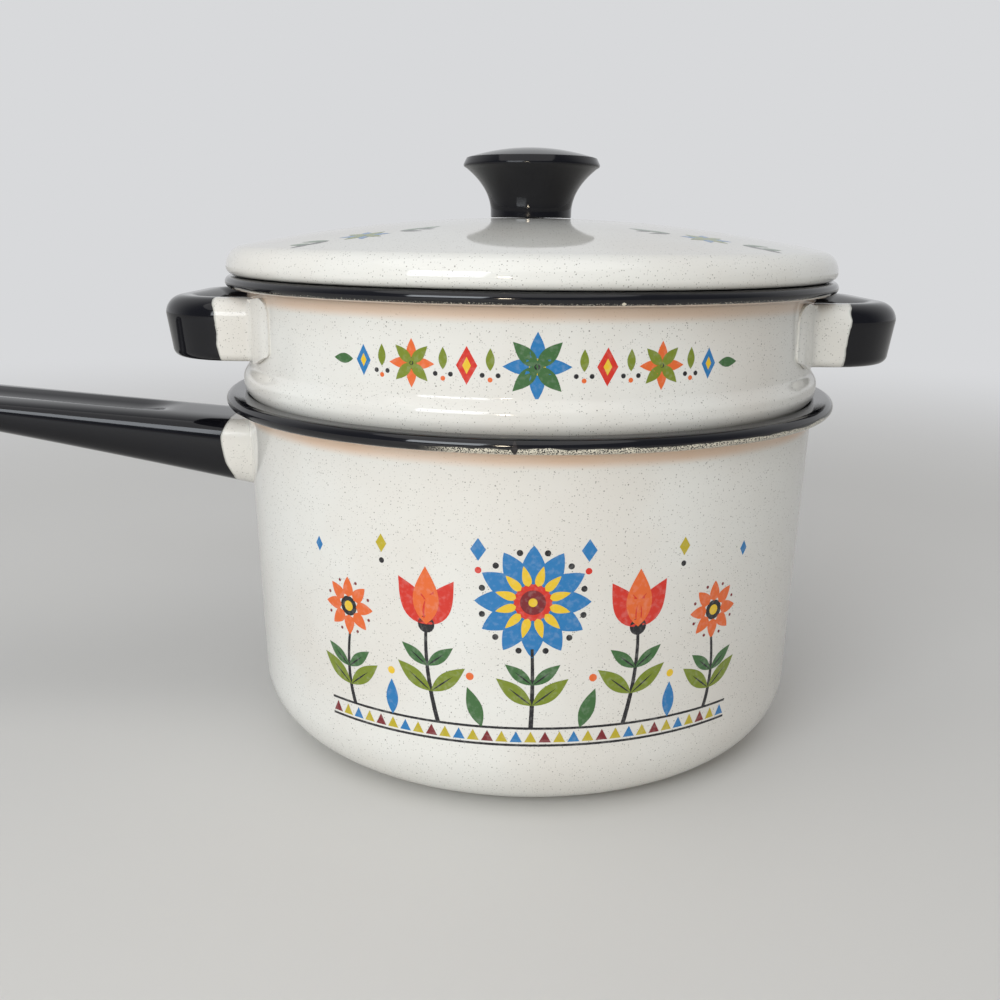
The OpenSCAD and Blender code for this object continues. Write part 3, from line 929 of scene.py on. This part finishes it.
def stalk(points, width, steps=14):
    """A curved stem along three points, tapering a little towards its end."""
    (ax, ay), (bx, by), (cx, cy) = points
    left, right = [], []
    for i in range(steps + 1):
        t = i / steps
        x, y = curve_point(points, t)
        dx = 2 * (1 - t) * (bx - ax) + 2 * t * (cx - bx)
        dy = 2 * (1 - t) * (by - ay) + 2 * t * (cy - by)
        size = math.hypot(dx, dy)
        half = width / 2 * (1 - STALK_TAPER * t)
        left.append((x - dy / size * half, y + dx / size * half))
        right.append((x + dy / size * half, y - dx / size * half))
    return left + right[::-1]


def diamond(at, width, height):
    x, y = at
    return [(x + width / 2, y), (x, y + height / 2), (x - width / 2, y), (x, y - height / 2)]


def daisy(at, radius, petals, colour, heart, dots=None):
    """A round flower: petals, a heart, and a ring of dots."""
    stamps = []
    for i in range(petals):
        angle = 360 * i / petals + 90
        stamps.append((petal(at, angle, radius * 0.32, radius * 0.68, radius * 0.42), colour, 1))
    stamps.append((disc(at, radius * 0.34), heart, 2))
    if dots:
        for i in range(petals):
            angle = math.radians(360 * (i + 0.5) / petals + 90)
            spot = (at[0] + radius * 0.9 * math.cos(angle), at[1] + radius * 0.9 * math.sin(angle))
            stamps.append((disc(spot, radius * 0.055, 12), dots, 1))
    return stamps


def leafy_stem(foot, bend, head):
    """A stem with two pairs of leaves."""
    stamps = [(stalk([foot, bend, head], 1.3), "black", 1)]
    for t, length, colour in ((0.3, 12.5, "olive"), (0.56, 9.5, "green")):
        joint = curve_point((foot, bend, head), t)
        for angle in (38, 142):
            stamps.append((leaf(joint, angle, length, length * 0.36), colour, 2))
            stamps.append((leaf(joint, angle, length * 0.66, 0.45), "black", 3))
    return stamps


def bell(at, angle, size, outer, inner):
    """A bell flower of three petals, opening along an angle."""
    stamps = []
    for turn in (-32, 32):
        stamps.append((leaf(at, angle + turn, size, size * 0.5, 0.75), outer, 2))
    stamps.append((leaf(at, angle, size * 1.08, size * 0.5, 0.8), inner, 3))
    stamps.append((disc(at, size * 0.16, 16), "black", 4))
    return stamps


def meadow():
    """The front of the saucepan: a row of tall flowers over a toothed border, in millimetres."""
    stamps = []
    for side in (-1, 1):
        stamps += leafy_stem((side * 26, 29), (side * 30, 44), (side * 29, 57))
        stamps += bell((side * 29, 57), 90, 15, "red", "orange")
        stamps += leafy_stem((side * 53, 29), (side * 56, 38), (side * 54, 50))
        stamps += daisy((side * 54, 58), 8.4, 8, "orange", "black", "maroon")
        stamps.append((disc((side * 54, 58), 1.5, 16), "yellow", 3))
        stamps.append((diamond((side * 14.5, 79), 4.2, 6.2), "blue", 1))
        stamps.append((disc((side * 14.5, 73.4), 0.9, 14), "red", 1))
        stamps.append((diamond((side * 42, 78), 3.4, 5.2), "mustard", 1))
        stamps.append((disc((side * 42, 73.2), 0.8, 14), "black", 1))
        stamps.append((diamond((side * 64.5, 74), 2.8, 4.4), "blue", 1))
        stamps.append((leaf((side * 13.5, 29), 90 - side * 20, 12, 4.2), "green", 1))
        stamps.append((leaf((side * 40, 29), 90, 10.5, 3.8), "blue", 1))
        stamps.append((disc((side * 40, 42), 1.1, 16), "yellow", 1))
        stamps.append((disc((side * 16.8, 43.4), 1.1, 16), "orange", 1))
    stamps += leafy_stem((0, 29), (0.5, 40), (0, 52))
    stamps += daisy((0, 65), 15.5, 12, "blue", "red", "black")
    for i in range(12):
        stamps.append((petal((0, 65), 30 * i + 105, 4.6, 5.6, 2.3), "yellow", 2))
    stamps.append((disc((0, 65), 3.4), "maroon", 3))
    stamps.append((disc((0, 65), 1.2, 16), "yellow", 4))
    stamps += border(-62, 62, 24, 29)
    return stamps


def border(start, end, low, high):
    """A band of alternating teeth between two thin rules."""
    stamps = []
    for z in (low, high):
        rule = [(start, z - 0.35), (end, z - 0.35), (end, z + 0.35), (start, z + 0.35)]
        stamps.append((rule, "black", 1))
    step = (end - start) / BORDER_TEETH
    colours = ("maroon", "mustard", "blue", "mustard")
    for i in range(BORDER_TEETH):
        x = start + step * i
        tooth = [(x + 0.3, low + 0.9), (x + step - 0.3, low + 0.9), (x + step / 2, high - 0.9)]
        stamps.append((tooth, colours[i % len(colours)], 1))
    return stamps


def rosette(at, radius, colours, heart):
    """A round flower of eight pointed petals in two colours by turns."""
    stamps = []
    for k in range(8):
        pointed = leaf(at, 45 * k + 90, radius, radius * 0.44, 0.8)
        stamps.append((pointed, colours[k % 2], 1 + k % 2))
    stamps.append((disc(at, radius * 0.24, 20), heart, 3))
    stamps.append((disc(at, radius * 0.09, 12), "black", 4))
    return stamps


def garland():
    """The band round the upper pan: rosettes, diamonds and hanging beads, in millimetres."""
    z = GARLAND_Z
    stamps = rosette((0, z), 8.6, ("blue", "green"), "yellow")
    for side in (-1, 1):
        stamps += rosette((side * 32, z), 6.2, ("orange", "olive"), "maroon")
        stamps.append((diamond((side * 17.5, z), 5.4, 9.6), "red", 1))
        stamps.append((diamond((side * 17.5, z), 2.2, 4.2), "yellow", 2))
        stamps.append((diamond((side * 46, z), 4.4, 8.0), "blue", 1))
        stamps.append((diamond((side * 46, z), 1.8, 3.4), "yellow", 2))
        stamps.append((leaf((side * 49.4, z), 90 - side * 90, 6.4, 2.6), "green", 1))
        for middle, reach in ((11.6, 3.2), (23.6, 3.2), (40.4, 2.6)):
            for k in (-1, 0, 1):
                bead = (side * middle + k * reach * 0.62, z - 3.4 + abs(k) * 1.1)
                stamps.append((disc(bead, 0.62, 14), "black" if k else "orange", 1))
            stamps.append((leaf((side * middle, z - 1.2), 90, 5.6, 2.2), "olive", 1))
    return stamps


def lid_posies():
    """A small posy on each side of the lid's front, in millimetres from its middle."""
    stamps = []
    for side in (-1, 1):
        at = (side * 46, -53)
        stamps += rosette(at, 7.0, ("blue", "olive"), "yellow")
        for k, length in ((1, 9.0), (2, 7.0)):
            for turn in (-1, 1):
                foot = (at[0] + turn * (4.5 + 4.6 * k), at[1] - side * turn * (1.5 + 2.2 * k))
                stamps.append((leaf(foot, 90 - turn * 62, length, 2.8), "green", 1))
                stamps.append((leaf(foot, -90 + turn * 62, length * 0.8, 2.4), "black", 1))
    return stamps


PRINT_LIFT = 0.012 * MM
PRINT_STEP = 0.005 * MM
PRINT_FILM = 0.01 * MM
PRINT_CUT = 2.5


def printed(name, stamps, wrap, inks):
    """Flat printed shapes wrapped on to a surface. wrap takes millimetres, and a lift in metres."""
    bm = bmesh.new()
    for points, colour, layer in stamps:
        face = bm.faces.new([bm.verts.new((x, y, layer)) for x, y in points])
        face.material_index = INK_NAMES.index(colour)
    bmesh.ops.triangulate(bm, faces=bm.faces)
    span = [v.co.x for v in bm.verts]
    cut = math.floor(min(span)) + PRINT_CUT
    while cut < max(span):
        everything = list(bm.verts) + list(bm.edges) + list(bm.faces)
        bmesh.ops.bisect_plane(bm, geom=everything, plane_co=(cut, 0, 0), plane_no=(1, 0, 0))
        cut += PRINT_CUT
    bmesh.ops.triangulate(bm, faces=bm.faces)
    for vert in bm.verts:
        vert.co = wrap(vert.co.x, vert.co.y, PRINT_LIFT + PRINT_STEP * vert.co.z)
    bm.normal_update()
    piece = finish_mesh(name, bm, inks[INK_NAMES[0]])
    for colour in INK_NAMES[1:]:
        piece.data.materials.append(inks[colour])
    film = piece.modifiers.new("film", "SOLIDIFY")
    film.thickness = PRINT_FILM
    film.offset = -1
    applied(piece).data.set_sharp_from_angle(angle=math.radians(30))
    return piece


def on_pot_front(x, z, lift):
    radius = POT_R - POT_TAPER * (POT_LIP_Z - z * MM) + lift
    angle = x * MM / POT_R - math.pi / 2
    return Vector((radius * math.cos(angle), radius * math.sin(angle), z * MM))


def on_pan_front(x, z, lift):
    radius = PAN_R + lift
    angle = x * MM / PAN_R - math.pi / 2
    return Vector((radius * math.cos(angle), radius * math.sin(angle), z * MM))


def on_lid_top(x, y, lift):
    reach = math.hypot(x, y) * MM
    return Vector((x * MM, y * MM, DOME_C + math.sqrt((DOME_R + HALF + lift) ** 2 - reach ** 2)))


def dress(piece, body, slot, *nodes):
    """Puts a finished piece on its body, in the place of the plain nodes."""
    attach(piece, body)
    if nodes:
        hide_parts(*nodes)


def build():
    lid_white = white_enamel("lid_enamel")
    pot_enamel = dipped_enamel(
        "saucepan_enamel", past_pot_rim, wander=0.12, waves=260.0, rim_shade=1.0, wear=worn_pot_rim,
    )
    pan_enamel = dipped_enamel(
        "upper_pan_enamel", past_pan_rim, wander=0.12, waves=260.0, rim_shade=0.9, wear=worn_pan_rim,
    )
    handle_enamel = dipped_enamel(
        "handle_enamel", past_handle_line, wander=0.5, waves=120.0, rim_shade=0.0,
    )
    ear_enamel = dipped_enamel("ear_enamel", past_ear_line, wander=1.3, waves=150.0, rim_shade=0.0)
    inks = {name: ink(name, colour) for name, colour in INK.items()}

    dress(saucepan_shell(pot_enamel), "saucepan", "white_enamel", "pot_body")
    dress(handle_skin(handle_enamel), "saucepan", "black_enamel", "long_handle")
    dress(upper_pan_shell(pan_enamel), "upper_pan", "white_enamel", "pan_body")
    dress(ear_strap("ear_strap_right", 1, ear_enamel), "upper_pan", "ear_enamel", "ear_right")
    dress(ear_strap("ear_strap_left", -1, ear_enamel), "upper_pan", "ear_enamel", "ear_left")
    dress(lid_dome(lid_white), "lid", "white_enamel", "lid_shell")
    dress(knob_cap(knob_plastic()), "lid", "knob_plastic", "knob")
    dress(printed("meadow_print", meadow(), on_pot_front, inks), "saucepan", "white_enamel")
    dress(printed("garland_print", garland(), on_pan_front, inks), "upper_pan", "white_enamel")
    dress(printed("posy_print", lid_posies(), on_lid_top, inks), "lid", "white_enamel")

    brass = turned_metal("turned_brass", rgb(214, 178, 108), rgb(190, 150, 84), 0.25)
    steel = turned_metal("plated_steel", rgb(198, 198, 198), rgb(170, 170, 172), 0.22)
    for name, metal in (("knob_bush", brass), ("knob_screw", steel), ("knob_washer", steel)):
        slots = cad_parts[name].data.materials
        slots.clear()
        slots.append(metal)


CAMERA_AT = Vector((-8.81, -352.09, 158.98)) * MM
CAMERA_PITCH = 14.206
CAMERA_ROLL = 0.6026
CAMERA_LENS = 38.8


def photo_camera():
    camera = bpy.data.objects.new("camera", bpy.data.cameras.new("camera"))
    camera.data.lens = CAMERA_LENS
    camera.data.clip_start = 0.01
    tilt = Matrix.Rotation(math.radians(90 - CAMERA_PITCH), 4, "X")
    roll = Matrix.Rotation(math.radians(CAMERA_ROLL), 4, "Z")
    camera.matrix_world = Matrix.Translation(CAMERA_AT) @ tilt @ roll
    bpy.context.scene.collection.objects.link(camera)
    bpy.context.scene.camera = camera


def soft_light(name, at, aim, size, power, colour):
    lamp = bpy.data.lights.new(name, "AREA")
    lamp.shape = "RECTANGLE"
    lamp.size, lamp.size_y = size
    lamp.energy = power
    lamp.color = colour
    lit = bpy.data.objects.new(name, lamp)
    lit.location = at
    lit.rotation_euler = (Vector(aim) - Vector(at)).to_track_quat("-Z", "Y").to_euler()
    bpy.context.scene.collection.objects.link(lit)


BACKDROP = rgb(216, 217, 219)
FLOOR = rgb(214, 213, 210)
FLOOR_SHADE = rgb(210, 209, 206)
FLOOR_R = 4.0
ROOM_SHADE = rgb(112, 116, 126)
AMBIENT = rgb(246, 248, 252)
AMBIENT_POWER = 0.42
CEILING_POWER = 0.94
CEILING_SPREAD = 70
CEILING_TILT = (24, -8)


def backdrop():
    """A plain pale world, with the darker room in front of the object where it is mirrored."""
    world = bpy.data.worlds.new("room")
    bpy.context.scene.world = world
    world.use_nodes = True
    tree = world.node_tree
    tree.nodes.clear()
    rays = node(tree, "ShaderNodeLightPath").outputs
    mirrored = maths(tree, "MAXIMUM", rays["Is Glossy Ray"], rays["Is Transmission Ray"])
    seen = maths(tree, "MAXIMUM", rays["Is Camera Ray"], mirrored)
    sky = node(tree, "ShaderNodeTexCoord").outputs["Generated"]
    towards = node(tree, "ShaderNodeSeparateXYZ", {0: sky}).outputs
    behind = step_between(tree, towards[1], -0.35, 0.45)
    plain = maths(tree, "MAXIMUM", behind, rays["Is Camera Ray"])
    room = mixed(tree, plain, ROOM_SHADE, BACKDROP)
    ambient = node(tree, "ShaderNodeBackground", {"Color": AMBIENT, "Strength": AMBIENT_POWER})
    shown = node(tree, "ShaderNodeBackground", {"Color": room, "Strength": 1.0})
    both = node(tree, "ShaderNodeMixShader", {0: seen, 1: ambient.outputs[0], 2: shown.outputs[0]})
    node(tree, "ShaderNodeOutputWorld", {"Surface": both.outputs[0]})


def pale_floor():
    """A plain floor that fades into the world in the distance."""
    bm = bmesh.new()
    bmesh.ops.create_circle(bm, cap_ends=True, radius=FLOOR_R, segments=96)
    material, tree, shader, place = new_material("pale_floor")
    grain = noise(tree, place, 6.0, 3.0)
    tree.links.new(mixed(tree, grain, FLOOR, FLOOR_SHADE), shader.inputs["Base Color"])
    shader.inputs["Roughness"].default_value = 0.6
    reach = node(tree, "ShaderNodeVectorMath", {0: place}, operation="LENGTH").outputs["Value"]
    far = step_between(tree, reach, 0.35, 1.1)
    rays = node(tree, "ShaderNodeLightPath").outputs
    glow = node(tree, "ShaderNodeEmission", {"Color": BACKDROP, "Strength": 1.0})
    away = maths(tree, "MULTIPLY", far, rays["Is Camera Ray"])
    faded = node(tree, "ShaderNodeMixShader", {0: away, 1: shader.outputs[0], 2: glow.outputs[0]})
    tree.links.new(faded.outputs[0], tree.nodes["Material Output"].inputs["Surface"])
    floor = finish_mesh("pale_floor", bm, material)


def lights():
    """A window and a small lamp in front, and the room's soft light from above."""
    soft_light(
        "window", at=(-0.51, -0.91, 0.46), aim=(0, 0, 0.09), size=(0.5, 0.44),
        power=4.8, colour=(0.9, 0.95, 1.0),
    )
    soft_light(
        "lamp", at=(-0.1, -0.62, 0.21), aim=(0, 0, 0.12), size=(0.04, 0.04),
        power=0.45, colour=(1.0, 0.86, 0.66),
    )
    ceiling = bpy.data.lights.new("ceiling", "SUN")
    ceiling.energy = CEILING_POWER
    ceiling.angle = math.radians(CEILING_SPREAD)
    ceiling.color = (1.0, 0.98, 0.95)
    hung = bpy.data.objects.new("ceiling", ceiling)
    hung.rotation_euler = (math.radians(CEILING_TILT[0]), math.radians(CEILING_TILT[1]), 0)
    bpy.context.scene.collection.objects.link(hung)


photo_camera()
build()
backdrop()
pale_floor()
lights()
bpy.context.scene.view_settings.view_transform = "Standard"
